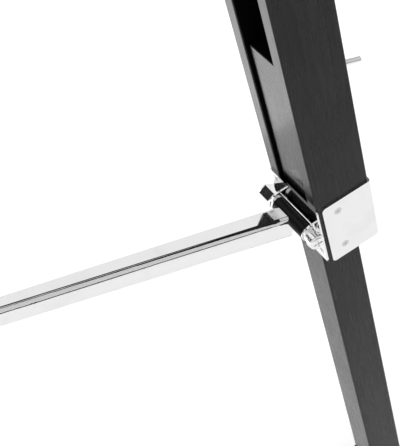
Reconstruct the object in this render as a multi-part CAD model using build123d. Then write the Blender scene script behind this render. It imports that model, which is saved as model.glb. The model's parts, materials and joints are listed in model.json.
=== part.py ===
from build123d import *
import math
import os

os.makedirs("parts", exist_ok=True)

# ---- layout ---------------------------------------------------------------
SPLAY = 20.0            # lean of each leg from the vertical, degrees
COLUMN_Y = -115.115     # column axis, so the feet's box is centred on the origin
FACE_R = 313.29         # column axis to the leg's inner face at the bracket
FACE_Z = 376.7          # height of that point
LEG_COUNT = 3

# ---- wooden upper leg -----------------------------------------------------
LEG_W = 60.0
LEG_D = 44.0
RAIL_T = 12.0
WEB_T = 9.0
LEG_BOTTOM = -36.4
LEG_TOP = 777.0
LEG_EDGE = 1.2          # small round on the rails' long edges
PIVOT_U = 752.0
PIVOT_D = 22.0
PIVOT_R = 4.0

# ---- inner leg and foot ---------------------------------------------------
INNER_W = 32.0
INNER_D0 = 2.6
INNER_TOP = 145.0
INNER_BOTTOM = -395.0
FOOT_WALL = 2.0
FOOT_TOP = -383.0
FOOT_LOW = -428.0

# ---- chrome bracket -------------------------------------------------------
PLATE_T = 1.5
SADDLE_T = 1.5
SADDLE_U = (-36.5, 20.9)
SADDLE_D0 = 3.3
BASE_U = (-32.0, 21.2)
BASE_W = (-29.4, 31.4)    # base plate, a little to the right of the leg's middle
BASE_ROUND = 1.5
BOLT_D = -8.0
BOLT_R = 3.05
EAR_T = 1.5
EAR_LEFT = -16.0         # outer faces of the two ears
EAR_RIGHT = 27.5
EAR_HALF = 8.5
EAR_TIP = 4.5
SLEEVE_R = 5.9
SLEEVE_BORE = 3.10
SLEEVE_GAP = 0.4
WASHER_R = 6.2
WASHER_T = 1.4
HEAD_R = 6.0
HEAD_T = 4.4
SPACER_R = 5.0
SPACER_T = 4.5
NUT_AF = 12.6
NUT_T = 11.8
SCREW_R = 3.0
SCREW_SIDE = ((15.4, 11.6), (15.7, -24.8))
SCREW_FRONT = ((-21.5, 16.0), (26.3, -22.9))

# ---- arm ------------------------------------------------------------------
ARM_LEN = 241.6
ARM_ROOT = 18.8
ARM_END = 15.6
ARM_TOP = 3.0           # top face above the bolt's axis
ARM_START = 1.5         # from the bolt's axis to the arm's coped end
ARM_ROUND = 4.2
HOOK_R = 2.5
HOOK_BACK = 6.5
HOOK_DROP = 6.0

# ---- lock peg -------------------------------------------------------------
PEG_U = 107.5
PEG_R = 2.25
PEG_GAP = 0.07
PEG_OUT = 29.0
PEG_IN = 7.0

# ---- column ---------------------------------------------------------------
TUBE_R = 16.0
TUBE_BORE = 13.6
TUBE_Z = (338.0, 1150.0)
POST_R = 13.5
POST_Z = (720.0, 1302.0)
HUB_R = 30.0
HUB_Z = (1068.0, 1112.0)
LUG_HALF = 17.0
LUG_R = 12.0
COLLAR_R = 22.0
COLLAR_Z = (1122.0, 1152.0)
SPREAD_R = 76.0
SPREAD_T = 4.0
SPREAD_GAP = 0.4
SPREAD_BOSS_R = 24.0
SPREAD_BOSS_H = 18.0
SLOT_W = 6.6
SLOT_LEN = 16.0

# ---- desk -----------------------------------------------------------------
TILT = 20.0
TILT_Z = 1330.0
DESK_HALF = 230.0
DESK_LOW = -140.0
DESK_HIGH = 190.0
DESK_T = 9.0
DESK_FRONT = -36.0
DESK_ROUND = 18.0
LEDGE_OUT = -88.0
LEDGE_T = 8.0
LIP_T = 4.0
LIP_H = 16.0
HEAD_HALF = 14.6
HEAD_DEPTH = 11.0
TILT_PIN_R = 4.0
RUN_GAP = 0.05
CLIP_X = 120.0
CLIP_LEN = 62.0


def box(x0, x1, y0, y1, z0, z1):
    """A block between two corners."""
    blk = Box(x1 - x0, y1 - y0, z1 - z0)
    return blk.moved(Location(((x0 + x1) / 2, (y0 + y1) / 2, (z0 + z1) / 2)))


def rod_x(x0, x1, y, z, r):
    """A round rod along X."""
    rod = Cylinder(r, x1 - x0, rotation=(0, 90, 0))
    return rod.moved(Location(((x0 + x1) / 2, y, z)))


def rod_y(x, y0, y1, z, r):
    """A round rod along Y."""
    rod = Cylinder(r, y1 - y0, rotation=(90, 0, 0))
    return rod.moved(Location((x, (y0 + y1) / 2, z)))


def rod_z(x, y, z0, z1, r):
    """A round rod along Z."""
    return Cylinder(r, z1 - z0).moved(Location((x, y, (z0 + z1) / 2)))


def leg_place(index):
    """Where leg `index` stands: leaned by SPLAY, then turned round the column."""
    lean = Location((0, FACE_R, FACE_Z)) * Rotation(SPLAY, 0, 0)
    turn = Rotation(0, 0, index * 360.0 / LEG_COUNT)
    return Location((0, COLUMN_Y, 0)) * turn * lean


def level(y, z):
    """A frame on the leg at (y, z) whose Y runs level and away from the column."""
    return Location((0, y, z)) * Rotation(-SPLAY, 0, 0)


def rail(side):
    """One side rail of the upper leg, bored for the top bolt."""
    x0, x1 = (LEG_W / 2 - RAIL_T, LEG_W / 2)
    if side < 0:
        x0, x1 = -x1, -x0
    body = box(x0, x1, 0, LEG_D, LEG_BOTTOM, LEG_TOP)
    crown = body.edges().filter_by(Axis.X).group_by(Axis.Z)[-1]
    body = fillet(crown, 14.0)
    body = fillet(body.edges().filter_by(Axis.Z), LEG_EDGE)
    body -= rod_x(x0 - 1, x1 + 1, PIVOT_D, PIVOT_U, PIVOT_R)
    return body


def web():
    """The back web that joins the rails, bored level for the lock peg."""
    half = LEG_W / 2 - RAIL_T
    body = box(-half, half, LEG_D - WEB_T, LEG_D - 0.6, LEG_BOTTOM, LEG_TOP - 14.0)
    hole = rod_y(0, -40, 40, 0, PEG_R + PEG_GAP).moved(level(LEG_D, PEG_U))
    return body - hole


def inner_leg():
    """The square leg that slides in the slot."""
    half = INNER_W / 2
    body = box(-half, half, INNER_D0, INNER_D0 + INNER_W, INNER_BOTTOM, INNER_TOP)
    body = fillet(body.edges().filter_by(Axis.Z), 1.4)
    return chamfer(body.faces().sort_by(Axis.Z)[-1].edges(), 0.6)


def foot():
    """A rubber boot on the inner leg with its sole level at the floor."""
    half = INNER_W / 2
    wall = FOOT_WALL
    d0, d1 = INNER_D0, INNER_D0 + INNER_W
    body = box(-half - wall, half + wall, d0 - wall, d1 + wall, FOOT_LOW, FOOT_TOP)
    body = fillet(body.edges().filter_by(Axis.Z), 3.0)
    body = body - inner_leg()
    below = box(-100, 100, -100, 100, -100, 0).moved(Location((0, FACE_R + 130, 0)))
    return body - below.moved(leg_place(0).inverse() * Location((0, COLUMN_Y, 0)))


def saddle():
    """The chrome sheet that wraps both sides and the back of the upper leg."""
    half = LEG_W / 2
    t = SADDLE_T
    u0, u1 = SADDLE_U
    outer = box(-half - t, half + t, SADDLE_D0, LEG_D + t, u0, u1)
    corner = outer.edges().filter_by(Axis.Z).group_by(Axis.Y)[-1]
    outer = fillet(corner, 2.6)
    inside = box(-half, half, SADDLE_D0 - 1, LEG_D, u0 - 1, u1 + 1)
    body = outer - inside
    for sx in (-1, 1):
        for d, u in SCREW_SIDE:
            body -= rod_x(sx * half - 4, sx * half + 4, d, u, SCREW_R)
    front = body.edges().filter_by(Axis.X).group_by(Axis.Y)[0]
    return fillet(front, 3.0)


def ear(x0, x1):
    """One upright ear of the front bracket, rounded over the bolt."""
    tip = BOLT_D - EAR_TIP
    body = box(x0, x1, tip, -0.2, -EAR_HALF, EAR_HALF)
    nose = body.edges().filter_by(Axis.X).group_by(Axis.Y)[0]
    body = fillet(nose, EAR_HALF - 1.5)
    return body - rod_x(x0 - 1, x1 + 1, BOLT_D, 0, BOLT_R)


def bracket():
    """The front base plate with its two ears and its screw holes."""
    body = box(BASE_W[0], BASE_W[1], -PLATE_T, 0, BASE_U[0], BASE_U[1])
    body = fillet(body.edges().filter_by(Axis.Y), BASE_ROUND)
    for x, u in SCREW_FRONT:
        body -= rod_y(x, -5, 5, u, SCREW_R)
    body += ear(EAR_RIGHT - EAR_T, EAR_RIGHT)
    body += ear(EAR_LEFT, EAR_LEFT + EAR_T)
    return body


def screw_body(length):
    """A countersunk screw with a crossed recess, its head at Z = 0."""
    head = Cone(1.4, SCREW_R - 0.02, SADDLE_T).moved(Location((0, 0, -SADDLE_T / 2)))
    shank = rod_z(0, 0, -length, -SADDLE_T / 2, 1.4)
    body = head + shank
    body -= box(-1.6, 1.6, -0.25, 0.25, -0.4, 1)
    body -= box(-0.25, 0.25, -1.6, 1.6, -0.4, 1)
    return body


def leg_screws():
    """The screws that hold the saddle and the base plate."""
    found = []
    side = LEG_W / 2 + SADDLE_T
    for sx in (-1, 1):
        for d, u in SCREW_SIDE:
            face = Location((sx * side, d, u)) * Rotation(0, sx * 90, 0)
            found.append(screw_body(10.0).moved(face))
    for x, u in SCREW_FRONT:
        face = Location((x, -PLATE_T, u)) * Rotation(90, 0, 0)
        found.append(screw_body(12.0).moved(face))
    return Compound(children=found)


def side_bores(body):
    """Cut the screw holes out of a wooden piece."""
    return body - Compound(children=screw_cutters())


def screw_cutters():
    """Plain rods where the screws' shanks pass."""
    side = LEG_W / 2 + SADDLE_T
    rods = []
    for sx in (-1, 1):
        for d, u in SCREW_SIDE:
            inner = sx * (side - 10.0)
            lo, hi = sorted((inner, sx * (side + 1)))
            rods.append(rod_x(lo, hi, d, u, 1.4))
    for x, u in SCREW_FRONT:
        rods.append(rod_y(x, -4, -PLATE_T + 12.0, u, 1.4))
    return rods


def hinge_bolt():
    """Pan-head bolt through both ears, with the spacer and washer under its head."""
    step = EAR_RIGHT + SPACER_T
    x0 = step + WASHER_T
    body = rod_x(EAR_LEFT - WASHER_T - 5.0, x0, BOLT_D, 0, BOLT_R)
    body += rod_x(EAR_RIGHT, step, BOLT_D, 0, SPACER_R)
    body += rod_x(step, x0, BOLT_D, 0, WASHER_R)
    head = rod_x(x0, x0 + HEAD_T, BOLT_D, 0, HEAD_R)
    head = fillet(head.edges().group_by(Axis.X)[-1], 2.2)
    top = x0 + HEAD_T
    head -= box(top - 1.6, top + 1, BOLT_D - 3.4, BOLT_D + 3.4, -0.55, 0.55)
    head -= box(top - 1.6, top + 1, BOLT_D - 0.55, BOLT_D + 0.55, -3.4, 3.4)
    return body + head


def cap_nut():
    """Domed hexagon nut with its washer on the bolt's far end."""
    bore = rod_x(EAR_LEFT - WASHER_T - 5.0, EAR_LEFT + 1, BOLT_D, 0, BOLT_R)
    washer = rod_x(EAR_LEFT - WASHER_T, EAR_LEFT, BOLT_D, 0, WASHER_R)
    face = Plane((EAR_LEFT - WASHER_T, BOLT_D, 0), x_dir=(0, 0, 1), z_dir=(-1, 0, 0))
    flat = RegularPolygon(NUT_AF / 2, 6, major_radius=False)
    hexa = extrude(face * flat, NUT_T)
    x_dome = EAR_LEFT - WASHER_T - NUT_T
    dome = Sphere(NUT_AF / 2 - 0.5).moved(Location((x_dome, BOLT_D, 0)))
    return (hexa + dome + washer) - bore


def sleeve_ends():
    """Where the sleeve stands between the two spacers."""
    left = EAR_LEFT + EAR_T + WASHER_T + SLEEVE_GAP
    right = EAR_RIGHT - EAR_T - WASHER_T - SLEEVE_GAP
    return left, right


def washer_pair():
    """The light spacers between each ear and the black sleeve."""
    rings = []
    for lo in (EAR_LEFT + EAR_T, EAR_RIGHT - EAR_T - WASHER_T):
        hi = lo + WASHER_T
        ring = rod_x(lo, hi, BOLT_D, 0, WASHER_R - 0.4)
        rings.append(ring - rod_x(lo - 1, hi + 1, BOLT_D, 0, BOLT_R))
    return Compound(children=rings)


def sleeve():
    """The black sleeve that turns on the bolt with the arm."""
    left, right = sleeve_ends()
    tube = rod_x(left, right, BOLT_D, 0, SLEEVE_R)
    return tube - rod_x(-40, 40, BOLT_D, 0, SLEEVE_BORE)


def arm():
    """The tapered square arm, level at rest, coped to the sleeve, with its hook pin."""
    ends = []
    for reach, size in ((ARM_START, ARM_ROOT), (ARM_LEN, ARM_END)):
        mid = ARM_TOP - size / 2
        face = Plane((0, -reach, mid), x_dir=(1, 0, 0), z_dir=(0, -1, 0))
        ends.append(face * RectangleRounded(size, size, ARM_ROUND))
    body = loft(ends)
    body -= rod_x(-30, 30, 0, 0, SLEEVE_R)
    base = ARM_TOP - ARM_END
    y = -ARM_LEN + HOOK_BACK
    pin = rod_z(0, y, base - HOOK_DROP, base + 3.0, HOOK_R)
    pin = chamfer(pin.edges().group_by(Axis.Z)[0], 0.8)
    return (body + pin).moved(level(BOLT_D, 0))


def lock_peg():
    """The level chrome peg that stands out of the leg's back."""
    peg = rod_y(0, -PEG_IN, PEG_OUT, 0, PEG_R)
    peg = fillet(peg.edges().group_by(Axis.Y)[-1], 0.8)
    return peg.moved(level(LEG_D, PEG_U))


def top_bolt():
    """The bolt through the rails and the hub's lug."""
    half = LEG_W / 2
    body = rod_x(-half - 1, half + 1, PIVOT_D, PIVOT_U, PIVOT_R)
    for x0, x1 in ((-half - 4.5, -half), (half, half + 4.5)):
        cap = rod_x(x0, x1, PIVOT_D, PIVOT_U, 7.5)
        body += chamfer(cap.edges(), 0.9)
    return body


def build_leg(index):
    """All nodes of one leg, placed in the assembly."""
    side_l = side_bores(rail(-1))
    side_r = side_bores(rail(1))
    pieces = {
        "left_rail": side_l,
        "right_rail": side_r,
        "back_web": web(),
        "inner": inner_leg(),
        "foot": foot(),
        "saddle": saddle(),
        "bracket": bracket(),
        "screws": leg_screws(),
        "hinge_bolt": hinge_bolt(),
        "cap_nut": cap_nut(),
        "washers": washer_pair(),
        "sleeve": sleeve(),
        "arm": arm(),
        "lock_peg": lock_peg(),
        "top_bolt": top_bolt(),
    }
    place = leg_place(index)
    for name, piece in pieces.items():
        save(f"leg_{index + 1}_{name}", piece.moved(place))


def pivot_point():
    """Radius and height of the leg's top pivot."""
    a = math.radians(SPLAY)
    radius = FACE_R + PIVOT_D * math.cos(a) - PIVOT_U * math.sin(a)
    height = FACE_Z + PIVOT_D * math.sin(a) + PIVOT_U * math.cos(a)
    return radius, height


def arm_height():
    """Height of the hinge bolts at rest."""
    return FACE_Z + BOLT_D * math.sin(math.radians(SPLAY))


def hook_radius():
    """Distance of the arms' hook pins from the column axis at rest."""
    bolt = FACE_R + BOLT_D * math.cos(math.radians(SPLAY))
    return bolt - ARM_LEN + HOOK_BACK


def hub():
    """The head casting with one bored lug for each leg."""
    radius, height = pivot_point()
    body = rod_z(0, 0, HUB_Z[0], HUB_Z[1], HUB_R)
    body = chamfer(body.edges(), 2.0)
    for n in range(LEG_COUNT):
        lug = box(-LUG_HALF, LUG_HALF, 0, radius, height - LUG_R, height + LUG_R)
        lug += rod_x(-LUG_HALF, LUG_HALF, radius, height, LUG_R)
        lug -= rod_x(-30, 30, radius, height, PIVOT_R + RUN_GAP)
        body += lug.moved(Rotation(0, 0, n * 360.0 / LEG_COUNT))
    return body - rod_z(0, 0, 900, 1300, TUBE_R)


def tube():
    """The fixed centre tube."""
    body = rod_z(0, 0, TUBE_Z[0], TUBE_Z[1], TUBE_R)
    return body - rod_z(0, 0, TUBE_Z[0] - 1, TUBE_Z[1] + 1, TUBE_BORE)


def collar():
    """The clamp collar on the tube, bored across for the knob's screw."""
    body = rod_z(0, 0, COLLAR_Z[0], COLLAR_Z[1], COLLAR_R)
    body = chamfer(body.edges(), 1.2)
    mid = (COLLAR_Z[0] + COLLAR_Z[1]) / 2
    boss = rod_y(0, -COLLAR_R - 6, 0, mid, 8.0)
    body += boss
    body -= rod_z(0, 0, 1000, 1300, TUBE_R)
    return body - rod_y(0, -60, 0, mid, 3.0 + RUN_GAP)


def clamp_tube():
    """The centre tube with the hole the clamp screw passes."""
    mid = (COLLAR_Z[0] + COLLAR_Z[1]) / 2
    return tube() - rod_y(0, -60, 0, mid, 3.0 + RUN_GAP)


def knob_shape(length):
    """A lobed knob with its screw, along -Z from its seat at Z = 0."""
    grip = rod_z(0, 0, -16.0, -2.0, 13.0)
    for k in range(6):
        a = math.radians(60 * k)
        grip -= rod_z(15.5 * math.cos(a), 15.5 * math.sin(a), -20, 2, 4.5)
    grip = chamfer(grip.edges().group_by(Axis.Z)[0], 1.5)
    neck = rod_z(0, 0, -2.0, -0.4, 7.0)
    return grip + neck + rod_z(0, 0, -3.0, length, 3.0)


def clamp_knob():
    """The knob whose screw clamps the post."""
    mid = (COLLAR_Z[0] + COLLAR_Z[1]) / 2
    seat = -COLLAR_R - 6
    length = -seat - POST_R - 0.4
    turned = Location((0, seat, mid)) * Rotation(-90, 0, 0)
    return knob_shape(length).moved(turned)


def spreader():
    """The centre plate with a slot for each arm's hook pin."""
    top = arm_height() + ARM_TOP - ARM_END - SPREAD_GAP
    body = rod_z(0, 0, top - SPREAD_T, top, SPREAD_R)
    body += rod_z(0, 0, top - SPREAD_T - SPREAD_BOSS_H, top, SPREAD_BOSS_R)
    body = chamfer(body.edges().group_by(Axis.Z)[0], 1.0)
    r = hook_radius()
    for n in range(LEG_COUNT):
        y0 = r - SLOT_LEN + SLOT_W
        slot = box(-SLOT_W / 2, SLOT_W / 2, y0, r, top - 6, top + 1)
        slot += rod_z(0, y0, top - 6, top + 1, SLOT_W / 2)
        slot += rod_z(0, r, top - 6, top + 1, SLOT_W / 2)
        body -= slot.moved(Rotation(0, 0, n * 360.0 / LEG_COUNT))
    return body - rod_z(0, 0, 200, 400, TUBE_R)


def post():
    """The sliding post that carries the desk."""
    body = rod_z(0, 0, POST_Z[0], POST_Z[1], POST_R)
    return chamfer(body.edges().group_by(Axis.Z)[0], 1.0)


def tilt_head():
    """The block on the post's top that the desk tilts on."""
    body = box(-HEAD_HALF, HEAD_HALF, -HEAD_DEPTH, HEAD_DEPTH, POST_Z[1] - 14, TILT_Z)
    body += rod_x(-HEAD_HALF, HEAD_HALF, 0, TILT_Z, HEAD_DEPTH)
    body -= rod_x(-40, 40, 0, TILT_Z, TILT_PIN_R + RUN_GAP)
    return body - rod_z(0, 0, POST_Z[0], POST_Z[1], POST_R)


def panel():
    """The desk's wooden panel with rounded corners."""
    y1 = DESK_FRONT + DESK_T
    body = box(-DESK_HALF, DESK_HALF, DESK_FRONT, y1, DESK_LOW, DESK_HIGH)
    body = fillet(body.edges().filter_by(Axis.Y), DESK_ROUND)
    return chamfer(body.faces().sort_by(Axis.Y)[0].edges(), 1.0)


def ledge():
    """The wooden ledge under the panel with its upturned lip."""
    y1 = DESK_FRONT + DESK_T
    low = DESK_LOW - LEDGE_T
    shelf = box(-DESK_HALF, DESK_HALF, LEDGE_OUT, y1, low, DESK_LOW)
    lip = box(-DESK_HALF, DESK_HALF, LEDGE_OUT, LEDGE_OUT + LIP_T, low, DESK_LOW + LIP_H)
    body = shelf + lip
    ends = body.edges().filter_by(Axis.Z).group_by(Axis.Y)[0]
    body = fillet(ends, 3.0)
    for sx in (-1, 1):
        z = DESK_LOW + LIP_H / 2
        body -= rod_y(sx * CLIP_X, LEDGE_OUT - 1, LEDGE_OUT + LIP_T + 1, z, 2.0)
    return body


def desk_bracket():
    """The chrome bracket on the desk's back with the tilt pin's ears."""
    y1 = DESK_FRONT + DESK_T
    body = box(-34, 34, y1, y1 + 3, -34, 34)
    body = fillet(body.edges().filter_by(Axis.Y), 5.0)
    for sx in (-1, 1):
        lo, hi = sorted((sx * (HEAD_HALF + 0.4), sx * (HEAD_HALF + 3.4)))
        wing = box(lo, hi, y1, 0, -12, 12) + rod_x(lo, hi, 0, 0, 12)
        body += wing
    body -= rod_x(-40, 40, 0, 0, TILT_PIN_R)
    for sx in (-1, 1):
        for sz in (-1, 1):
            body -= rod_y(sx * 27, y1 - 1, y1 + 4, sz * 27, 2.2)
    return body


def desk_screws():
    """Four pan-head screws through the desk bracket, as separate solids."""
    y1 = DESK_FRONT + DESK_T
    found = []
    for sx in (-1, 1):
        for sz in (-1, 1):
            head = rod_y(sx * 27, y1 + 3, y1 + 5, sz * 27, 4.0)
            head = fillet(head.edges().group_by(Axis.Y)[-1], 1.0)
            found.append(head + rod_y(sx * 27, y1, y1 + 4, sz * 27, 2.2))
    return found


def tilt_pin():
    """The pin through the desk's ears, headed on one side."""
    outer = HEAD_HALF + 3.4
    pin = rod_x(-outer - 3.5, outer, 0, 0, TILT_PIN_R)
    cap = rod_x(-outer - 3.5, -outer, 0, 0, 8.0)
    pin += chamfer(cap.edges().group_by(Axis.X)[0], 0.8)
    return pin


def tilt_knob():
    """The knob beside the desk's ear that tightens the tilt."""
    turned = Location((HEAD_HALF + 3.8, 0, 0)) * Rotation(0, -90, 0)
    return (knob_shape(0.0) - rod_z(0, 0, -1.6, 5, 4)).moved(turned)


def clip(side):
    """A flat page clip with its pivot hole, lying along the lip at rest."""
    y1 = LEDGE_OUT - 0.5
    z = DESK_LOW + LIP_H / 2
    x = side * CLIP_X
    far = x - side * CLIP_LEN
    lo, hi = sorted((x, far))
    body = box(lo, hi, y1 - 1.6, y1, z - 5, z + 5)
    body += rod_y(x, y1 - 1.6, y1, z, 5.0) + rod_y(far, y1 - 1.6, y1, z, 5.0)
    return body - rod_y(x, y1 - 3, y1 + 1, z, 2.05)


def clip_pivots():
    """The two rivets the page clips turn on."""
    z = DESK_LOW + LIP_H / 2
    found = []
    for sx in (-1, 1):
        pin = rod_y(sx * CLIP_X, LEDGE_OUT - 2.5, LEDGE_OUT + LIP_T, z, 2.0)
        head = rod_y(sx * CLIP_X, LEDGE_OUT - 4.0, LEDGE_OUT - 2.5, z, 4.0)
        found.append(pin + fillet(head.edges().group_by(Axis.Y)[0], 0.8))
    return Compound(children=found)


def save(name, shape):
    """Write one node."""
    export_step(shape, f"parts/{name}.step")


def build_column():
    """The fixed head, tube and spreader plate, and the sliding post."""
    place = Location((0, COLUMN_Y, 0))
    pieces = {
        "hub": hub(),
        "centre_tube": clamp_tube(),
        "collar": collar(),
        "clamp_knob": clamp_knob(),
        "spreader_plate": spreader(),
        "post": post(),
        "tilt_head": tilt_head(),
    }
    for name, piece in pieces.items():
        save(name, piece.moved(place))


def build_desk():
    """The tilting desk and its page clips."""
    place = Location((0, COLUMN_Y, TILT_Z)) * Rotation(-TILT, 0, 0)
    pieces = {
        "desk_panel": panel(),
        "desk_ledge": ledge(),
        "desk_bracket": Compound(children=[desk_bracket(), *desk_screws()]),
        "tilt_pin": tilt_pin(),
        "tilt_knob": tilt_knob(),
        "clip_left": clip(-1),
        "clip_right": clip(1),
        "clip_pivots": clip_pivots(),
    }
    for name, piece in pieces.items():
        save(name, piece.moved(place))


for leg in range(LEG_COUNT):
    build_leg(leg)
build_column()
build_desk()
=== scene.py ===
"""Looks of a folding wooden music stand: stained wood, mirror chrome, rubber and cast aluminium.

The frame brings the solid pieces. The classes here dress them and add the small fittings.
"""
from __future__ import annotations

import json
import logging
import math
from dataclasses import dataclass
from enum import Enum

import bmesh
import bpy
from mathutils import Euler, Matrix, Vector

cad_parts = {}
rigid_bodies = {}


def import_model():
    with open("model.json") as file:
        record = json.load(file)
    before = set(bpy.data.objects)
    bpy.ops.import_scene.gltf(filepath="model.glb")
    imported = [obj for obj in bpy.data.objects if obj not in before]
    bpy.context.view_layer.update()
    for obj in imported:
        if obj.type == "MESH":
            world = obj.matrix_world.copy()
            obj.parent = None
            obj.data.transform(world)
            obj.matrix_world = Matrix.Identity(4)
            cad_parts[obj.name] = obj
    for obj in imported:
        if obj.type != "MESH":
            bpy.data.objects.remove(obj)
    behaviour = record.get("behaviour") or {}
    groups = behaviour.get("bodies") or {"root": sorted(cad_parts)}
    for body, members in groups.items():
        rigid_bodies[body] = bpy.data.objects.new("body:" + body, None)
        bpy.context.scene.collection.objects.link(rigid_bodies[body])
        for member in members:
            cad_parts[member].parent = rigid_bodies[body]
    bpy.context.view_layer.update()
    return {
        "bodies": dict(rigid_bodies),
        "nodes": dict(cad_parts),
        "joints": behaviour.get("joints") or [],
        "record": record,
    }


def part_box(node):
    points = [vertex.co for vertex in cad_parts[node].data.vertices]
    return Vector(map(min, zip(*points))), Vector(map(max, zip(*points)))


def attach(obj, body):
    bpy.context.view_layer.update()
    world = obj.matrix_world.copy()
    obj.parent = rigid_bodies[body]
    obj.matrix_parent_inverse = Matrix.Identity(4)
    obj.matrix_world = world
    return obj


log = logging.getLogger("music_stand")

MM = 0.001
SPLAY = math.radians(20.0)
LEG_COUNT = 3
SMOOTH_BELOW = math.radians(35.0)    # edges flatter than this are shaded smooth
SLOT_SHADE_GREY = 0.0006                    # painted shade: near-black grey for wood faces inside the leg's slot


# ---------------------------------------------------------------- shader arithmetic
class Sock:
    """A number socket that takes part in Python arithmetic by adding Math nodes."""

    def __init__(self, sheet: "Sheet", socket: bpy.types.NodeSocket) -> None:
        """Wrap a socket.

        Args:
            sheet: The sheet that new Math nodes go on.
            socket: The output socket.
        """
        self.sheet = sheet
        self.socket = socket

    def _join(self, operation: str, first: object, second: object) -> "Sock":
        """Add one Math node.

        Args:
            operation: The Math node's operation.
            first: Its first value, a number or a Sock.
            second: Its second value, a number or a Sock.

        Returns:
            The node's result.
        """
        return self.sheet.add("ShaderNodeMath", {"operation": operation}, {0: first, 1: second})

    def __add__(self, other: object) -> "Sock":
        """Sum of two values."""
        return self._join("ADD", self, other)

    __radd__ = __add__

    def __mul__(self, other: object) -> "Sock":
        """Product of two values."""
        return self._join("MULTIPLY", self, other)

    __rmul__ = __mul__

    def __sub__(self, other: object) -> "Sock":
        """Difference of two values."""
        return self._join("SUBTRACT", self, other)

    def __rsub__(self, other: object) -> "Sock":
        """Difference with the plain number first."""
        return self._join("SUBTRACT", other, self)


class Sheet:
    """A node tree with one method that adds any node."""

    def __init__(self, tree: bpy.types.NodeTree) -> None:
        """Start on a tree.

        Args:
            tree: A material's or a modifier's node tree.
        """
        self.tree = tree

    def node(self, kind: str, settings: dict | None = None,
             values: dict | None = None) -> bpy.types.Node:
        """Add a node.

        Args:
            kind: The node's type.
            settings: Its properties, set first.
            values: Numbers, colours, Socks or sockets for its inputs, by name or place.

        Returns:
            The node.
        """
        made = self.tree.nodes.new(kind)
        for key, value in (settings or {}).items():
            setattr(made, key, value)
        for key, value in (values or {}).items():
            slot = made.inputs[key]
            if isinstance(value, Sock):
                value = value.socket
            if isinstance(value, bpy.types.NodeSocket):
                self.tree.links.new(value, slot)
            else:
                slot.default_value = value
        return made

    def add(self, kind: str, settings: dict | None = None, values: dict | None = None,
            output: object = 0) -> Sock:
        """Add a node and hand back one of its outputs.

        Args:
            kind: The node's type.
            settings: Its properties.
            values: Its inputs.
            output: The output's name or place.

        Returns:
            The output as a Sock.
        """
        made = self.node(kind, settings, values)
        return Sock(self, made.outputs[output])

    def noise(self, where: Sock, scale: float, detail: float = 4.0,
              rough: float = 0.55) -> Sock:
        """Noise at a place.

        Args:
            where: The coordinates.
            scale: Its scale.
            detail: Its octaves.
            rough: How strong the fine octaves are.

        Returns:
            A value from 0 to 1.
        """
        values = {"Vector": where, "Scale": scale, "Detail": detail, "Roughness": rough}
        return self.add("ShaderNodeTexNoise", {}, values, "Fac")

    def ramp(self, value: Sock, low: float, high: float) -> Sock:
        """A smooth step of a value.

        Args:
            value: The value.
            low: Where the result is 0.
            high: Where the result is 1.

        Returns:
            A value from 0 to 1.
        """
        values = {"Value": value, "From Min": low, "From Max": high}
        return self.add("ShaderNodeMapRange", {"interpolation_type": "SMOOTHSTEP"}, values)

    def blend(self, amount: object, first: object, second: object) -> Sock:
        """Mix two colours.

        Args:
            amount: 0 for the first, 1 for the second.
            first: A colour or Sock.
            second: A colour or Sock.

        Returns:
            The mixed colour.
        """
        made = self.node("ShaderNodeMix", {"data_type": "RGBA"})
        for slot, value in ((made.inputs[0], amount), (made.inputs[6], first),
                            (made.inputs[7], second)):
            if isinstance(value, Sock):
                self.tree.links.new(value.socket, slot)
            else:
                slot.default_value = value
        return Sock(self, made.outputs[2])

    def bump(self, height: Sock, depth: float, strength: float) -> Sock:
        """A bumped normal.

        Args:
            height: The height pattern.
            depth: The pattern's depth in metres.
            strength: How much of it shows.

        Returns:
            The normal.
        """
        values = {"Height": height, "Distance": depth, "Strength": strength}
        return self.add("ShaderNodeBump", {}, values)


def grey(level: float, warmth: float = 0.0) -> tuple[float, float, float, float]:
    """A grey with a little warmth.

    Args:
        level: Its linear brightness.
        warmth: Added to red and taken from blue.

    Returns:
        The colour with alpha 1.
    """
    return (level * (1 + warmth), level, level * (1 - warmth), 1.0)


# ---------------------------------------------------------------- finishes
@dataclass(frozen=True)
class Finish:
    """What every finish shares: a name and a Principled shader."""

    name: str

    def material(self) -> bpy.types.Material:
        """Build the material, or hand back the one built before.

        Returns:
            The material.
        """
        found = bpy.data.materials.get(self.name)
        if found is not None:
            return found
        made = bpy.data.materials.new(self.name)
        made.use_nodes = True
        made.node_tree.nodes.clear()
        sheet = Sheet(made.node_tree)
        shader = sheet.node("ShaderNodeBsdfPrincipled")
        sheet.node("ShaderNodeOutputMaterial", {}, {"Surface": shader.outputs[0]})
        where = sheet.add("ShaderNodeTexCoord", {}, {}, "Object")
        for key, value in self.paint(sheet, where).items():
            if isinstance(value, Sock):
                sheet.tree.links.new(value.socket, shader.inputs[key])
            else:
                shader.inputs[key].default_value = value
        return made

    def paint(self, sheet: Sheet, where: Sock) -> dict:
        """What feeds the shader's sockets.

        Args:
            sheet: The material's sheet.
            where: The piece's own coordinates.

        Returns:
            Socket names and their values.
        """
        raise NotImplementedError


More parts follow.
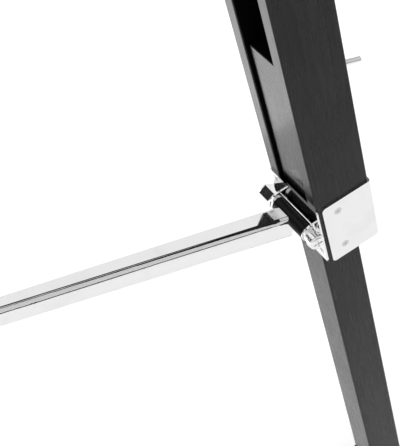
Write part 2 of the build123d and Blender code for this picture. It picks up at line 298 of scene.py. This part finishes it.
@dataclass(frozen=True)
class StainedWood(Finish):
    """Dark stained, open-grained wood under a satin coat."""

    turn: tuple[float, float, float] = (0.0, 0.0, 0.0)
    grain: tuple[float, float, float] = (1.0, 1.0, 0.03)
    origin: tuple[float, float, float] = (0.0, 0.0, 0.0)
    slot_half: float = -1.0
    top: float = 9.0
    dark: float = 0.0035
    light: float = 0.014
    rough_low: float = 0.2
    rough_high: float = 0.34
    specular: float = 0.05
    lacquer: float = 0.38
    lacquer_rough: float = 0.12

    def paint(self, sheet: Sheet, where: Sock) -> dict:
        """Long fibres, darker pores, broad mottling, worn streaks and painted shade on faces
        inside the slot.

        Args:
            sheet: The material's sheet.
            where: The piece's own coordinates.

        Returns:
            Socket names and their values.
        """
        turned = sheet.add("ShaderNodeMapping", {"vector_type": "TEXTURE"},
                           {"Vector": where, "Location": self.origin, "Rotation": self.turn})
        fibre = sheet.add("ShaderNodeMapping", {}, {"Vector": turned, "Scale": self.grain})
        threads = sheet.noise(fibre, 620.0, 5.0, 0.62)
        bands = sheet.noise(fibre, 90.0, 3.0, 0.5)
        pores = sheet.ramp(sheet.noise(fibre, 1500.0, 2.0, 0.4), 0.60, 0.72)
        cloud = sheet.noise(turned, 26.0, 3.0, 0.5)
        tone = threads * 0.5 + bands * 0.3 + cloud * 0.2
        shade = sheet.ramp(tone, 0.34, 0.66)
        colour = sheet.blend(shade, grey(self.dark), grey(self.light, 0.015))
        colour = sheet.blend(pores * 0.55, colour, grey(self.dark * 0.35))
        # painted shade: faces inside the slot are coloured near black and left uncoated
        shaded_slot = self.slot_shade_mask(sheet, turned)
        colour = sheet.blend(shaded_slot, colour, grey(SLOT_SHADE_GREY))
        worn = sheet.ramp(threads * 0.6 + cloud * 0.4, 0.3, 0.7)
        rough = worn * (self.rough_high - self.rough_low) + self.rough_low + shaded_slot * 0.5
        height = threads * 0.6 - pores * 0.5 + bands * 0.25
        return {"Base Color": colour, "Roughness": rough,
                "Specular IOR Level": self.specular,
                "Coat Weight": (1 - shaded_slot) * self.lacquer,
                "Coat Roughness": self.lacquer_rough,
                "Normal": sheet.bump(height, 0.00018, 0.4)}

    def slot_shade_mask(self, sheet: Sheet, turned: Sock) -> Sock:
        """Painted shade: where the wood faces into the slot and lies in its shade.

        Args:
            sheet: The material's sheet.
            turned: Coordinates along the piece.

        Returns:
            1 on the shaded slot faces, 0 elsewhere.
        """
        split = sheet.node("ShaderNodeSeparateXYZ", {}, {0: turned})
        across = sheet.add("ShaderNodeMath", {"operation": "ABSOLUTE"}, {0: split.outputs[0]})
        side = 1 - sheet.ramp(across, self.slot_half, self.slot_half + 0.2 * MM)
        end = sheet.ramp(Sock(sheet, split.outputs[2]), self.top - 0.3 * MM, self.top)
        return sheet.add("ShaderNodeMath", {"operation": "MAXIMUM"}, {0: side, 1: end})


@dataclass(frozen=True)
class MirrorChrome(Finish):
    """Bright plated steel with faint smudges and polishing lines."""

    level: float = 0.8
    rough: float = 0.03

    def paint(self, sheet: Sheet, where: Sock) -> dict:
        """Mirror plate with uneven polish.

        Args:
            sheet: The material's sheet.
            where: The piece's own coordinates.

        Returns:
            Socket names and their values.
        """
        smudge = sheet.ramp(sheet.noise(where, 55.0, 3.0), 0.48, 0.75)
        lines = sheet.noise(where, 900.0, 2.0)
        colour = sheet.blend(smudge * 0.35, grey(self.level), grey(self.level * 0.9, 0.01))
        rough = smudge * 0.05 + lines * 0.02 + self.rough
        return {"Base Color": colour, "Metallic": 1.0, "Roughness": rough,
                "Normal": sheet.bump(lines, 0.00001, 0.12)}


@dataclass(frozen=True)
class CastMetal(Finish):
    """Cast aluminium, polished but a little uneven."""

    level: float = 0.62
    rough: float = 0.26

    def paint(self, sheet: Sheet, where: Sock) -> dict:
        """Soft casting texture.

        Args:
            sheet: The material's sheet.
            where: The piece's own coordinates.

        Returns:
            Socket names and their values.
        """
        cast = sheet.noise(where, 420.0, 4.0)
        wear = sheet.ramp(sheet.noise(where, 38.0, 3.0), 0.45, 0.7)
        colour = sheet.blend(wear, grey(self.level * 0.86), grey(self.level, 0.01))
        return {"Base Color": colour, "Metallic": 1.0,
                "Roughness": cast * 0.12 + wear * 0.06 + self.rough,
                "Normal": sheet.bump(cast, 0.00008, 0.3)}


@dataclass(frozen=True)
class SatinPaint(Finish):
    """Black enamel on metal."""

    level: float = 0.02

    def paint(self, sheet: Sheet, where: Sock) -> dict:
        """Enamel with a faint orange peel and dusty patches.

        Args:
            sheet: The material's sheet.
            where: The piece's own coordinates.

        Returns:
            Socket names and their values.
        """
        peel = sheet.noise(where, 520.0, 2.0)
        dust = sheet.ramp(sheet.noise(where, 30.0, 4.0), 0.5, 0.8)
        colour = sheet.blend(dust, grey(self.level), grey(self.level * 1.9, 0.02))
        return {"Base Color": colour, "Roughness": dust * 0.12 + 0.3,
                "Coat Weight": 0.3, "Coat Roughness": 0.15,
                "Normal": sheet.bump(peel, 0.00004, 0.35)}


@dataclass(frozen=True)
class BlackMould(Finish):
    """Moulded black plastic or rubber."""

    level: float = 0.014
    rough: float = 0.42
    pebble: float = 900.0
    specular: float = 0.5

    def paint(self, sheet: Sheet, where: Sock) -> dict:
        """Fine moulded grain.

        Args:
            sheet: The material's sheet.
            where: The piece's own coordinates.

        Returns:
            Socket names and their values.
        """
        pebbles = sheet.noise(where, self.pebble, 2.0, 0.4)
        scuff = sheet.ramp(sheet.noise(where, 70.0, 4.0), 0.55, 0.8)
        colour = sheet.blend(scuff, grey(self.level), grey(self.level * 2.6, 0.02))
        return {"Base Color": colour, "Roughness": pebbles * 0.12 + scuff * 0.1 + self.rough,
                "Specular IOR Level": self.specular,
                "Normal": sheet.bump(pebbles, 0.00006, 0.5)}


@dataclass(frozen=True)
class PressedFelt(Finish):
    """Dark pressed felt."""

    def paint(self, sheet: Sheet, where: Sock) -> dict:
        """Short matted fibres.

        Args:
            sheet: The material's sheet.
            where: The piece's own coordinates.

        Returns:
            Socket names and their values.
        """
        fluff = sheet.noise(where, 1400.0, 6.0, 0.8)
        patch = sheet.noise(where, 120.0, 3.0)
        colour = sheet.blend(fluff * 0.7 + patch * 0.3, grey(0.012), grey(0.05, 0.03))
        return {"Base Color": colour, "Roughness": 0.95, "Sheen Weight": 0.3,
                "Normal": sheet.bump(fluff, 0.0003, 0.8)}


@dataclass(frozen=True)
class PaleFloor(Finish):
    """The floor the stand is shown on."""

    def paint(self, sheet: Sheet, where: Sock) -> dict:
        """Nearly white and matt.

        Args:
            sheet: The material's sheet.
            where: The piece's own coordinates.

        Returns:
            Socket names and their values.
        """
        cloud = sheet.noise(where, 3.0, 2.0)
        return {"Base Color": sheet.blend(cloud, grey(0.84), grey(0.86)), "Roughness": 0.95,
                "Specular IOR Level": 0.0, "Emission Color": grey(1.0),
                "Emission Strength": 0.4}


class Turned(Enum):
    """Which way a wooden piece's grain runs in its own turned coordinates."""

    UP_THE_LEG = (1.0, 1.0, 0.03)
    ACROSS_THE_DESK = (0.03, 1.0, 1.0)


CHROME = MirrorChrome("mirror_chrome")
SCREW_STEEL = MirrorChrome("screw_steel", 0.6, 0.09)
SPACER = CastMetal("bright_spacer", 0.85, 0.2)
CASTING = CastMetal("cast_head")
POST_METAL = MirrorChrome("drawn_post", 0.74, 0.14)
ENAMEL = SatinPaint("black_enamel")
SLEEVE = BlackMould("black_sleeve", 0.003, 0.16, 1200.0, 0.12)
KNOB = BlackMould("black_knob", 0.016, 0.4, 800.0)
RUBBER = BlackMould("foot_rubber", 0.02, 0.68, 500.0)
FELT = PressedFelt("ledge_felt")
DESK_TURN = (-SPLAY, 0.0, 0.0)
DESK_WOOD = StainedWood("desk_wood", DESK_TURN, Turned.ACROSS_THE_DESK.value)


# ---------------------------------------------------------------- helpers
def dress(node: bpy.types.Object, finish: Finish) -> None:
    """Give an object one finish in all its material slots.

    Args:
        node: The object.
        finish: What it gets.
    """
    made = finish.material()
    if not node.material_slots:
        node.data.materials.append(made)
    for slot in node.material_slots:
        slot.material = made


def joint_place(frame: dict, name: str) -> Vector:
    """Where a hinge's axis passes.

    Args:
        frame: The loaded frame.
        name: The joint's name.

    Returns:
        The point in metres.
    """
    joints = frame["record"]["behaviour"]["joints"]
    found = next(joint for joint in joints if joint["name"] == name)
    return Vector(found["pos_m"])


def mesh_piece(name: str, shape: bmesh.types.BMesh, finish: Finish) -> bpy.types.Object:
    """Turn a shape into a finished object at the origin.

    Args:
        name: The piece's name.
        shape: Its shape, in place. It is freed here.
        finish: Its finish.

    Returns:
        The object.
    """
    bmesh.ops.recalc_face_normals(shape, faces=shape.faces)
    data = bpy.data.meshes.new(name)
    shape.to_mesh(data)
    shape.free()
    made = bpy.data.objects.new(name, data)
    bpy.context.scene.collection.objects.link(made)
    dress(made, finish)
    data.shade_smooth()
    data.set_sharp_from_angle(angle=SMOOTH_BELOW)
    return made


def soft_block(size: Vector, radius: float, segments: int) -> bmesh.types.BMesh:
    """A block with rounded edges, centred on the origin.

    Args:
        size: Its three sides.
        radius: The edges' radius.
        segments: How finely the edges are rounded.

    Returns:
        The shape.
    """
    shape = bmesh.new()
    bmesh.ops.create_cube(shape, size=1.0)
    bmesh.ops.scale(shape, vec=size, verts=shape.verts)
    limit = min(size) * 0.45
    bmesh.ops.bevel(shape, geom=shape.edges[:], offset=min(radius, limit),
                    segments=segments, affect="EDGES")
    return shape


def button(radius: float, thick: float, segments: int = 40) -> bmesh.types.BMesh:
    """A round button with a softened rim, standing on the origin along +Z.

    Args:
        radius: Its radius.
        thick: Its height.
        segments: Its sides.

    Returns:
        The shape.
    """
    shape = bmesh.new()
    bmesh.ops.create_cone(shape, cap_ends=True, segments=segments, radius1=radius,
                          radius2=radius, depth=thick)
    top = [edge for edge in shape.edges
           if all(point.co.z > 0 for point in edge.verts)]
    bmesh.ops.bevel(shape, geom=top, offset=thick * 0.4, segments=3, affect="EDGES")
    bmesh.ops.translate(shape, vec=Vector((0.0, 0.0, thick / 2)), verts=shape.verts)
    return shape


class Tree(Sheet):
    """A Geometry Nodes tree with named inputs."""

    def __init__(self, name: str) -> None:
        """Start an empty tree with a geometry output.

        Args:
            name: The tree's name.
        """
        super().__init__(bpy.data.node_groups.new(name, "GeometryNodeTree"))
        self.tree.interface.new_socket("Geometry", in_out="OUTPUT",
                                       socket_type="NodeSocketGeometry")
        self.source = self.tree.nodes.new("NodeGroupInput")
        self.sizes: dict[str, object] = {}

    def size(self, name: str, value: object, kind: str = "NodeSocketFloat") -> Sock:
        """Add a named input.

        Args:
            name: The input's name.
            value: What the modifier sets it to.
            kind: Its socket type.

        Returns:
            The input as a Sock.
        """
        made = self.tree.interface.new_socket(name, in_out="INPUT", socket_type=kind)
        self.sizes[made.identifier] = value
        return Sock(self, self.source.outputs[name])

    def finish(self, name: str, result: Sock, finish: Finish) -> bpy.types.Object:
        """Realise the instances, set the material and make a plain object.

        Args:
            name: The piece's name.
            result: The geometry.
            finish: The piece's finish.

        Returns:
            The object, with no modifier on it.
        """
        solid = self.add("GeometryNodeRealizeInstances", {}, {0: result})
        set_it = self.add("GeometryNodeSetMaterial", {},
                          {0: solid, "Material": finish.material()})
        self.node("NodeGroupOutput", {}, {0: set_it})
        holder = bpy.data.objects.new(name + "_maker", bpy.data.meshes.new(name + "_maker"))
        bpy.context.scene.collection.objects.link(holder)
        modifier = holder.modifiers.new("maker", "NODES")
        modifier.node_group = self.tree
        for identifier, value in self.sizes.items():
            modifier[identifier] = value
        graph = bpy.context.evaluated_depsgraph_get()
        graph.update()
        data = bpy.data.meshes.new_from_object(holder.evaluated_get(graph))
        data.name = name
        bpy.data.objects.remove(holder)
        made = bpy.data.objects.new(name, data)
        bpy.context.scene.collection.objects.link(made)
        data.shade_smooth()
        data.set_sharp_from_angle(angle=SMOOTH_BELOW)
        return made


# ---------------------------------------------------------------- sub-assemblies
@dataclass
class Leg:
    """One leg: rails, web, sliding inner leg, chrome bracket, arm and foot."""

    frame: dict
    number: int
    rib_count: int = 3
    rib_pitch: float = 5.0 * MM
    rib_radius: float = 0.9 * MM
    foot_half: float = 18.0 * MM
    foot_corner: float = 3.0 * MM
    foot_middle: float = 18.6 * MM
    foot_start: float = -397.0 * MM
    slot_half: float = 18.0 * MM
    inner_top: float = 145.0 * MM
    bolt_depth: float = -8.0 * MM
    arm_reach: float = 241.4 * MM
    arm_rise: float = -4.8 * MM
    plug_side: float = 13.6 * MM
    plug_thick: float = 2.0 * MM
    plug_round: float = 1.2 * MM
    stud_count: int = 6
    stud_pitch: float = 120.0 * MM
    stud_radius: float = 3.2 * MM
    stud_flatness: float = 0.42
    stud_depth: float = 43.0 * MM
    stud_start: float = 55.0 * MM

    @property
    def turn(self) -> tuple[float, float, float]:
        """How the leg's own axes are turned from the frame's."""
        return (SPLAY, 0.0, math.tau * (self.number - 1) / LEG_COUNT)

    def place(self, across: float, depth: float, up: float) -> Vector:
        """A point given on the leg, in the frame.

        Args:
            across: Along the hinge bolt.
            depth: From the leg's inner face to its back.
            up: Along the leg from the hinge bolt.

        Returns:
            The point.
        """
        bolt = joint_place(self.frame, f"arm_{self.number}_pivot")
        step = Vector((across, depth - self.bolt_depth, up))
        return bolt + Euler(self.turn).to_matrix() @ step

    def node(self, part: str) -> bpy.types.Object:
        """One of the leg's CAD nodes."""
        return self.frame["nodes"][f"leg_{self.number}_{part}"]

    def dress_nodes(self) -> None:
        """Give every CAD node of the leg its finish."""
        grain = Turned.UP_THE_LEG.value
        bolt = tuple(joint_place(self.frame, f"arm_{self.number}_pivot"))
        # painted shade: slot_half darkens the rail faces inside the slot, top darkens the inner
        # leg's top end
        rails = StainedWood(f"leg_{self.number}_wood", self.turn, grain, bolt,
                            self.slot_half)
        # painted shade: the back web sits inside the slot and is coloured near black
        slot = StainedWood(f"leg_{self.number}_slot_shade_wood", self.turn, grain, bolt,
                           dark=SLOT_SHADE_GREY, light=0.0016, rough_low=0.7, rough_high=0.9,
                           specular=0.08, lacquer=0.0)
        inner = StainedWood(f"leg_{self.number}_inner_wood", self.turn, grain, bolt,
                            top=self.inner_top)
        finishes = {"left_rail": rails, "right_rail": rails, "back_web": slot,
                    "inner": inner, "foot": RUBBER, "saddle": CHROME, "bracket": CHROME,
                    "screws": SCREW_STEEL, "hinge_bolt": CHROME, "cap_nut": CHROME,
                    "washers": SPACER, "sleeve": SLEEVE, "arm": CHROME,
                    "lock_peg": CHROME, "top_bolt": CHROME}
        for part, finish in finishes.items():
            dress(self.node(part), finish)

    def foot_ribs(self) -> None:
        """Raised ribs round the rubber foot."""
        name = f"leg_{self.number}_foot_ribs"
        tree = Tree(name)
        side = tree.size("Side", 2 * self.foot_half)
        corner = tree.size("Corner", self.foot_corner)
        radius = tree.size("Rib radius", self.rib_radius)
        pitch = tree.size("Pitch", (0.0, 0.0, self.rib_pitch), "NodeSocketVector")
        count = tree.size("Count", self.rib_count, "NodeSocketInt")
        start = self.place(0.0, self.foot_middle, self.foot_start)
        shift = tree.size("Shift", tuple(start), "NodeSocketVector")
        turn = tree.size("Turn", self.turn, "NodeSocketVector")
        loop = tree.add("GeometryNodeCurvePrimitiveQuadrilateral", {},
                        {"Width": side, "Height": side})
        loop = tree.add("GeometryNodeFilletCurve", {"mode": "POLY"},
                        {"Curve": loop, "Count": 4, "Radius": corner})
        ring = tree.add("GeometryNodeCurvePrimitiveCircle", {},
                        {"Resolution": 8, "Radius": radius})
        rib = tree.add("GeometryNodeCurveToMesh", {}, {"Curve": loop, "Profile Curve": ring})
        line = tree.add("GeometryNodeMeshLine", {}, {"Count": count, "Offset": pitch})
        many = tree.add("GeometryNodeInstanceOnPoints", {}, {"Points": line, "Instance": rib})
        placed = tree.add("GeometryNodeTransform", {},
                          {"Geometry": many, "Translation": shift, "Rotation": turn})
        made = tree.finish(name, placed, RUBBER)
        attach(made, f"lower_leg_{self.number}")
        log.info("%s: %d ribs", name, self.rib_count)

    def web_studs(self) -> None:
        """Domed studs that pin the back web between the rails."""
        name = f"leg_{self.number}_web_studs"
        tree = Tree(name)
        radius = tree.size("Stud radius", self.stud_radius)
        pitch = tree.size("Pitch", (0.0, 0.0, self.stud_pitch), "NodeSocketVector")
        count = tree.size("Count", self.stud_count, "NodeSocketInt")
        start = self.place(0.0, self.stud_depth, self.stud_start)
        shift = tree.size("Shift", tuple(start), "NodeSocketVector")
        turn = tree.size("Turn", self.turn, "NodeSocketVector")
        flatten = tree.size("Flatten", (1.0, self.stud_flatness, 1.0), "NodeSocketVector")
        ball = tree.add("GeometryNodeMeshUVSphere", {},
                        {"Segments": 20, "Rings": 12, "Radius": radius})
        dome = tree.add("GeometryNodeTransform", {}, {"Geometry": ball, "Scale": flatten})
        line = tree.add("GeometryNodeMeshLine", {}, {"Count": count, "Offset": pitch})
        many = tree.add("GeometryNodeInstanceOnPoints", {}, {"Points": line, "Instance": dome})
        placed = tree.add("GeometryNodeTransform", {},
                          {"Geometry": many, "Translation": shift, "Rotation": turn})
        made = tree.finish(name, placed, SCREW_STEEL)
        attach(made, f"leg_{self.number}")
        log.info("%s: %d studs", name, self.stud_count)

    def arm_plug(self) -> None:
        """A black plug with rounded edges in the arm's open end."""
        name = f"leg_{self.number}_arm_plug"
        bolt = joint_place(self.frame, f"arm_{self.number}_pivot")
        turn = Matrix.Rotation(self.turn[2], 3, "Z")
        shape = soft_block(Vector((self.plug_side, self.plug_thick, self.plug_side)),
                           self.plug_round, 3)
        centre = Vector((0.0, -self.arm_reach, self.arm_rise))
        for point in shape.verts:
            point.co = bolt + turn @ (point.co + centre)
        made = mesh_piece(name, shape, KNOB)
        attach(made, f"arm_{self.number}")
        log.info("%s", name)

    def build(self) -> None:
        """Dress the leg and add its fittings."""
        self.dress_nodes()
        self.arm_plug()
        self.foot_ribs()
        self.web_studs()
        log.info("leg %d dressed", self.number)


@dataclass
class Column:
    """The fixed head, centre tube, spreader plate and sliding post."""

    frame: dict
    button_radius: float = 6.0 * MM
    button_thick: float = 1.4 * MM
    button_sunk: float = 0.6 * MM

    def build(self) -> None:
        """Give every CAD node of the column its finish."""
        finishes = {"hub": CASTING, "centre_tube": ENAMEL, "collar": CASTING,
                    "spreader_plate": CASTING, "post": POST_METAL, "tilt_head": CASTING,
                    "clamp_knob": KNOB}
        for part, finish in finishes.items():
            dress(self.frame["nodes"][part], finish)
        self.knob_button()
        log.info("column dressed")

    def knob_button(self) -> None:
        """A polished button let into the clamp knob's face."""
        low, high = (Vector(corner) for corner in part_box("clamp_knob"))
        face = Vector(((low.x + high.x) / 2, low.y, (low.z + high.z) / 2))
        turn = Vector((0.0, -1.0, 0.0)).to_track_quat("Z", "Y").to_matrix()
        shape = button(self.button_radius, self.button_thick)
        for point in shape.verts:
            point.co = turn @ (point.co - Vector((0.0, 0.0, self.button_sunk))) + face
        made = mesh_piece("clamp_knob_button", shape, SCREW_STEEL)
        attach(made, "clamp_knob")
        log.info("clamp_knob_button")


@dataclass
class Desk:
    """The tilting desk with its ledge, felt strip, bracket and page clips."""

    frame: dict
    felt_half: float = 222.0 * MM
    felt_depth: tuple[float, float] = (-83.0 * MM, -37.0 * MM)
    felt_thick: float = 1.2 * MM
    felt_round: float = 0.4 * MM
    shelf_top: float = -140.0 * MM

    def place(self, across: float, depth: float, up: float) -> Vector:
        """A point given on the desk, in the frame.

        Args:
            across: Along the tilt pin.
            depth: From the player towards the back.
            up: Up the desk from the tilt pin.

        Returns:
            The point.
        """
        lean = Matrix.Rotation(-SPLAY, 3, "X")
        pin = joint_place(self.frame, "desk_tilt")
        return lean @ Vector((across, depth, up)) + pin

    def felt(self) -> None:
        """A felt strip with softened edges along the ledge."""
        low, high = self.felt_depth
        size = Vector((2 * self.felt_half, high - low, self.felt_thick))
        shape = soft_block(size, self.felt_round, 2)
        centre = Vector((0.0, (low + high) / 2, self.shelf_top + self.felt_thick / 2))
        for point in shape.verts:
            point.co = self.place(*(point.co + centre))
        made = mesh_piece("ledge_felt_strip", shape, FELT)
        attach(made, "desk")
        log.info("ledge_felt_strip")

    def build(self) -> None:
        """Dress the desk and add its felt."""
        finishes = {"desk_panel": DESK_WOOD, "desk_ledge": DESK_WOOD,
                    "desk_bracket": CHROME, "tilt_pin": CHROME, "tilt_knob": KNOB,
                    "clip_left": CHROME, "clip_right": CHROME, "clip_pivots": SCREW_STEEL}
        for part, finish in finishes.items():
            dress(self.frame["nodes"][part], finish)
        self.felt()
        log.info("desk dressed")


@dataclass
class Studio:
    """Floor, light and camera."""

    frame: dict
    corner_across: float = 30.0 * MM
    corner_up: float = -5.0 * MM
    stand_off: tuple[float, float, float] = (452.8 * MM, -208.7 * MM, 587.6 * MM)
    look: tuple[float, float, float] = (-0.65486, 0.18385, -0.73305)
    right: tuple[float, float, float] = (0.49755, 0.83498, -0.23506)
    lens: float = 86.9
    floor_half: float = 9.0

    def floor(self) -> None:
        """A wide pale floor under the feet."""
        shape = bmesh.new()
        bmesh.ops.create_grid(shape, x_segments=1, y_segments=1, size=self.floor_half)
        made = mesh_piece("floor", shape, PaleFloor("pale_floor"))

    def lamp(self, name: str, place: tuple[float, float, float],
             aim: tuple[float, float, float], side: float, glow: float) -> None:
        """A square soft light.

        Args:
            name: Its name.
            place: Where it hangs.
            aim: The point it faces.
            side: Its side in metres.
            glow: How bright its face is, where 1 is white.
        """
        data = bpy.data.lights.new(name, "AREA")
        data.shape = "SQUARE"
        data.size = side
        data.energy = glow * 4 * side * side
        made = bpy.data.objects.new(name, data)
        bpy.context.scene.collection.objects.link(made)
        made.location = place
        made.rotation_euler = (Vector(aim) - Vector(place)).to_track_quat("-Z", "Y").to_euler()
        made.visible_camera = False

    def card(self, name: str, centre: tuple[float, float, float], wide: float,
             tall: float, lean: float = 0.0, level: float = 0.004) -> None:
        """A card that the chrome reflects and the camera doesn't see.

        Args:
            name: Its name.
            centre: Its middle.
            wide: Its width along Y.
            tall: Its other side, upright when it has no lean.
            lean: How far it leans over towards +X, in degrees.
            level: Its grey.
        """
        shape = bmesh.new()
        turn = Matrix.Rotation(math.radians(lean), 3, "Y")
        corners = [turn @ Vector((0.0, sy * wide / 2, sz * tall / 2)) + Vector(centre)
                   for sy, sz in ((-1, -1), (1, -1), (1, 1), (-1, 1))]
        shape.faces.new([shape.verts.new(corner) for corner in corners])
        made = mesh_piece(name, shape, BlackMould(name + "_cloth", level, 0.9))
        made.visible_camera = False

    def light(self) -> None:
        """A bright white room, two soft lights and the cards that the chrome reflects."""
        world = bpy.data.worlds.new("white_room")
        world.use_nodes = True
        sheet = Sheet(world.node_tree)
        sheet.tree.nodes.clear()
        glow = sheet.node("ShaderNodeBackground", {}, {"Color": grey(1.0), "Strength": 1.0})
        sheet.node("ShaderNodeOutputWorld", {}, {"Surface": glow.outputs[0]})
        bpy.context.scene.world = world
        self.lamp("soft_top", place=(-0.6, -1.2, 2.6), aim=(0.0, 0.0, 0.5), side=1.6, glow=0.25)
        self.lamp("soft_low", place=(-0.40, -0.02, 0.10), aim=(0.0, 0.19, 0.45), side=0.5,
                  glow=1.0)
        self.card("low_card", centre=(2.4, 1.2, 0.52), wide=3.4, tall=0.75)
        self.card("high_card", centre=(-1.2, 1.25, 2.6), wide=1.8, tall=1.4)
        self.card("front_card", centre=(-1.44, -1.33, 1.05), wide=1.1, tall=0.55)
        self.card("grey_roof", centre=(1.1, 1.7, 2.4), wide=4.5, tall=5.1, lean=112.8,
                  level=0.66)

    def camera(self) -> None:
        """A long lens above the leg joint."""
        lean = Matrix.Rotation(SPLAY, 3, "X")
        corner = Leg(self.frame, 1).place(self.corner_across, 0.0, self.corner_up)
        ahead = (lean @ Vector(self.look)).normalized()
        side = (lean @ Vector(self.right)).normalized()
        up = side.cross(ahead).normalized()
        data = bpy.data.cameras.new("camera")
        data.lens = self.lens
        data.clip_start = 0.01
        data.clip_end = 100.0
        made = bpy.data.objects.new("camera", data)
        bpy.context.scene.collection.objects.link(made)
        turn = Matrix((side, up, -ahead)).transposed()
        made.matrix_world = Matrix.Translation(corner + lean @ Vector(self.stand_off)) \
            @ turn.to_4x4()
        bpy.context.scene.camera = made

    def build(self) -> None:
        """Set the stage."""
        self.floor()
        self.light()
        self.camera()
        bpy.context.scene.view_settings.view_transform = "Standard"
        log.info("studio set")


def main() -> None:
    """Build every sub-assembly in order."""
    logging.basicConfig(level=logging.INFO, format="%(message)s")
    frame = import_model()
    for number in range(1, LEG_COUNT + 1):
        Leg(frame, number).build()
    Column(frame).build()
    Desk(frame).build()
    Studio(frame).build()


if __name__ == "__main__":
    main()
